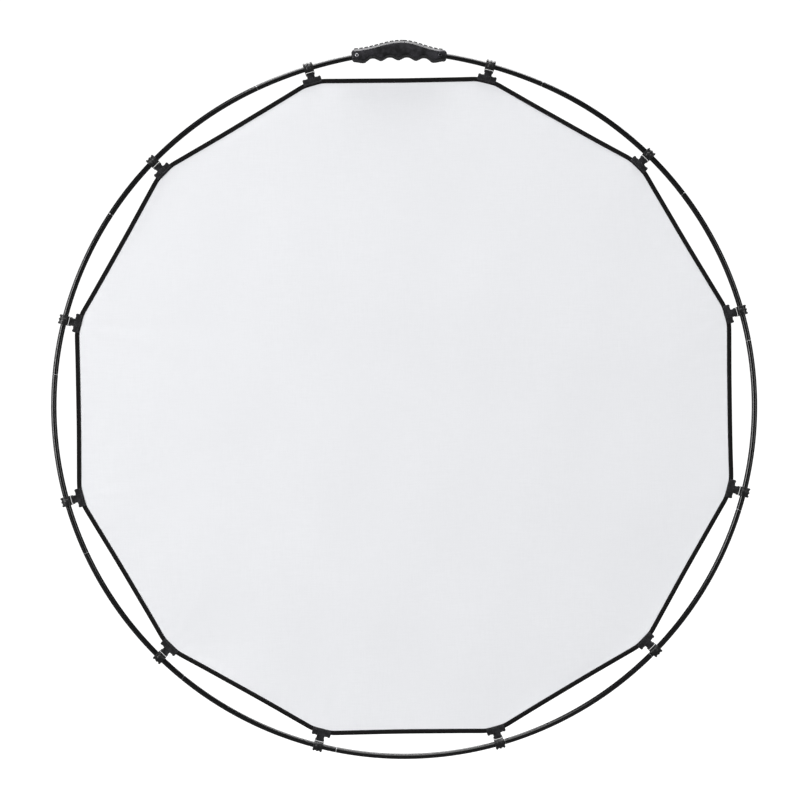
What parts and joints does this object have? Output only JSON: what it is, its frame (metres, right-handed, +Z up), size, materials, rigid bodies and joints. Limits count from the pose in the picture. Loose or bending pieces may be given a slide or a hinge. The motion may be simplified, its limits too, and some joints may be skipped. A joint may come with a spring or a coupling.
{
  "type": "framed reflector disc",
  "caption": "Round fabric light reflector: a twelve-cornered panel clipped inside a ring of plugged tubes, with a moulded finger-groove hand grip at the top.",
  "frame": {"origin": "middle of the hand grip, straight above the ring's centre and in the ring's plane", "axes": "+Z up from the ring's centre to the grip, +X to the right as the white side is seen, +Y away from the viewer of the white side, square to the disc"},
  "size_m": [0.82, 0.024, 0.8342],
  "materials": {
    "tube_black": "black anodised, glossy",
    "bare_aluminium": "bare, turned",
    "grip_plastic": "charcoal, fine moulded grain",
    "grip_rubber": "matte, ribbed",
    "screw_steel": "zinc plated",
    "stop_plastic": "plain",
    "fabric_white": "white, fine plain weave",
    "fabric_silver": "silver, metallised",
    "binding_tape": "black twill tape",
    "webbing": "black ribbed webbing",
    "clip_plastic": "black moulded"
  },
  "bodies": {
    "root": {"tube_l0": "tube_black", "tube_r0": "tube_black", "grip_front_shell": "grip_plastic", "grip_rear_shell": "grip_plastic", "grip_strip": "grip_rubber", "screw_left": "screw_steel", "screw_right": "screw_steel", "cord_stop_left": "stop_plastic", "cord_stop_right": "stop_plastic"},
    "left_1": {"tube_l1": "tube_black", "ferrule_l1": "bare_aluminium"},
    "left_2": {"tube_l2": "tube_black", "ferrule_l2": "bare_aluminium"},
    "left_3": {"tube_l3": "tube_black", "ferrule_l3": "bare_aluminium"},
    "left_4": {"tube_l4": "tube_black", "ferrule_l4": "bare_aluminium"},
    "left_5": {"tube_l5": "tube_black", "ferrule_l5": "bare_aluminium"},
    "right_1": {"tube_r1": "tube_black", "ferrule_r1": "bare_aluminium"},
    "right_2": {"tube_r2": "tube_black", "ferrule_r2": "bare_aluminium"},
    "right_3": {"tube_r3": "tube_black", "ferrule_r3": "bare_aluminium"},
    "right_4": {"tube_r4": "tube_black", "ferrule_r4": "bare_aluminium"},
    "right_5": {"tube_r5": "tube_black", "ferrule_r5": "bare_aluminium"},
    "right_6": {"tube_r6": "tube_black", "ferrule_r6": "bare_aluminium", "ferrule_open": "bare_aluminium"},
    "panel": {"sheet_white": "fabric_white", "sheet_silver": "fabric_silver", "hem": "binding_tape", "strap_01": "webbing", "strap_02": "webbing", "strap_03": "webbing", "strap_04": "webbing", "strap_05": "webbing", "strap_06": "webbing", "strap_07": "webbing", "strap_08": "webbing", "strap_09": "webbing", "strap_10": "webbing", "strap_11": "webbing", "strap_12": "webbing"},
    "hook_01": {"clip_01": "clip_plastic"},
    "hook_02": {"clip_02": "clip_plastic"},
    "hook_03": {"clip_03": "clip_plastic"},
    "hook_04": {"clip_04": "clip_plastic"},
    "hook_05": {"clip_05": "clip_plastic"},
    "hook_06": {"clip_06": "clip_plastic"},
    "hook_07": {"clip_07": "clip_plastic"},
    "hook_08": {"clip_08": "clip_plastic"},
    "hook_09": {"clip_09": "clip_plastic"},
    "hook_10": {"clip_10": "clip_plastic"},
    "hook_11": {"clip_11": "clip_plastic"},
    "hook_12": {"clip_12": "clip_plastic"}
  },
  "joints": [
    {"name": "frame_fold", "type": "hinge", "parent": "root", "child": "right_1", "pos_m": [0.16554, 0.004, -0.03969], "axis": [0.4067, 0, 0.9135], "range_deg": [0, 135]},
    {"name": "right_fold_2", "type": "hinge", "parent": "right_1", "child": "right_2", "pos_m": [0.32717, -0.004, -0.16941], "axis": [-0.8039, 0, -0.5948], "range_deg": [0, 178]},
    {"name": "right_fold_3", "type": "hinge", "parent": "right_2", "child": "right_3", "pos_m": [0.40082, 0.004, -0.34082], "axis": [0.9848, 0, 0.1736], "range_deg": [0, 178]},
    {"name": "right_fold_4", "type": "hinge", "parent": "right_3", "child": "right_4", "pos_m": [0.38708, -0.004, -0.53727], "axis": [-0.9511, 0, 0.309], "range_deg": [0, 178]},
    {"name": "right_fold_5", "type": "hinge", "parent": "right_4", "child": "right_5", "pos_m": [0.28273, 0.004, -0.70427], "axis": [0.6947, 0, -0.7193], "range_deg": [0, 178]},
    {"name": "right_fold_6", "type": "hinge", "parent": "right_5", "child": "right_6", "pos_m": [0.11218, -0.004, -0.80273], "axis": [-0.2756, 0, 0.9613], "range_deg": [0, 178]},
    {"name": "left_fold_1", "type": "hinge", "parent": "root", "child": "left_1", "pos_m": [-0.16554, 0.004, -0.03969], "axis": [0.4067, 0, -0.9135], "range_deg": [0, 135]},
    {"name": "left_fold_2", "type": "hinge", "parent": "left_1", "child": "left_2", "pos_m": [-0.33742, -0.004, -0.18391], "axis": [-0.829, 0, 0.5592], "range_deg": [0, 178]},
    {"name": "left_fold_3", "type": "hinge", "parent": "left_2", "child": "left_3", "pos_m": [-0.40477, 0.004, -0.36896], "axis": [0.9945, 0, -0.1045], "range_deg": [0, 178]},
    {"name": "left_fold_4", "type": "hinge", "parent": "left_3", "child": "left_4", "pos_m": [-0.37181, -0.004, -0.57704], "axis": [-0.9135, 0, -0.4067], "range_deg": [0, 178]},
    {"name": "left_fold_5", "type": "hinge", "parent": "left_4", "child": "left_5", "pos_m": [-0.26161, 0.004, -0.72328], "axis": [0.6428, 0, 0.766], "range_deg": [0, 178]},
    {"name": "panel_lift_off", "type": "slide", "parent": "root", "child": "panel", "axis": [0, -1, 0], "range_m": [0, 0.4725]},
    {"name": "clip_01_swing", "type": "hinge", "parent": "panel", "child": "hook_01", "pos_m": [-0.10362, 0, -0.02477], "axis": [0.9659, 0, 0.2588], "range_deg": [0, 80]},
    {"name": "clip_02_swing", "type": "hinge", "parent": "panel", "child": "hook_02", "pos_m": [-0.28256, 0, -0.12894], "axis": [0.7071, 0, 0.7071], "range_deg": [0, 80]},
    {"name": "clip_03_swing", "type": "hinge", "parent": "panel", "child": "hook_03", "pos_m": [-0.38598, 0, -0.30808], "axis": [0.2588, 0, 0.9659], "range_deg": [0, 80]},
    {"name": "clip_04_swing", "type": "hinge", "parent": "panel", "child": "hook_04", "pos_m": [-0.38598, 0, -0.51492], "axis": [-0.2588, 0, 0.9659], "range_deg": [0, 80]},
    {"name": "clip_05_swing", "type": "hinge", "parent": "panel", "child": "hook_05", "pos_m": [-0.28256, 0, -0.69406], "axis": [-0.7071, 0, 0.7071], "range_deg": [0, 80]},
    {"name": "clip_06_swing", "type": "hinge", "parent": "panel", "child": "hook_06", "pos_m": [-0.10342, 0, -0.79748], "axis": [-0.9659, 0, 0.2588], "range_deg": [0, 80]},
    {"name": "clip_07_swing", "type": "hinge", "parent": "panel", "child": "hook_07", "pos_m": [0.10342, 0, -0.79748], "axis": [-0.9659, 0, -0.2588], "range_deg": [0, 80]},
    {"name": "clip_08_swing", "type": "hinge", "parent": "panel", "child": "hook_08", "pos_m": [0.28256, 0, -0.69406], "axis": [-0.7071, 0, -0.7071], "range_deg": [0, 80]},
    {"name": "clip_09_swing", "type": "hinge", "parent": "panel", "child": "hook_09", "pos_m": [0.38598, 0, -0.51492], "axis": [-0.2588, 0, -0.9659], "range_deg": [0, 80]},
    {"name": "clip_10_swing", "type": "hinge", "parent": "panel", "child": "hook_10", "pos_m": [0.38598, 0, -0.30808], "axis": [0.2588, 0, -0.9659], "range_deg": [0, 80]},
    {"name": "clip_11_swing", "type": "hinge", "parent": "panel", "child": "hook_11", "pos_m": [0.28256, 0, -0.12894], "axis": [0.7071, 0, -0.7071], "range_deg": [0, 80]},
    {"name": "clip_12_swing", "type": "hinge", "parent": "panel", "child": "hook_12", "pos_m": [0.10362, 0, -0.02477], "axis": [0.9659, 0, -0.2588], "range_deg": [0, 80]}
  ],
  "couplings": [
    {"joint": "right_fold_2", "follows": "frame_fold", "ratio": 1.3185},
    {"joint": "right_fold_3", "follows": "frame_fold", "ratio": 1.3185},
    {"joint": "right_fold_4", "follows": "frame_fold", "ratio": 1.3185},
    {"joint": "right_fold_5", "follows": "frame_fold", "ratio": 1.3185},
    {"joint": "right_fold_6", "follows": "frame_fold", "ratio": 1.3185},
    {"joint": "left_fold_1", "follows": "frame_fold", "ratio": 1},
    {"joint": "left_fold_2", "follows": "frame_fold", "ratio": 1.3185},
    {"joint": "left_fold_3", "follows": "frame_fold", "ratio": 1.3185},
    {"joint": "left_fold_4", "follows": "frame_fold", "ratio": 1.3185},
    {"joint": "left_fold_5", "follows": "frame_fold", "ratio": 1.3185},
    {"joint": "panel_lift_off", "follows": "frame_fold", "m_per_rad": 0.2}
  ]
}
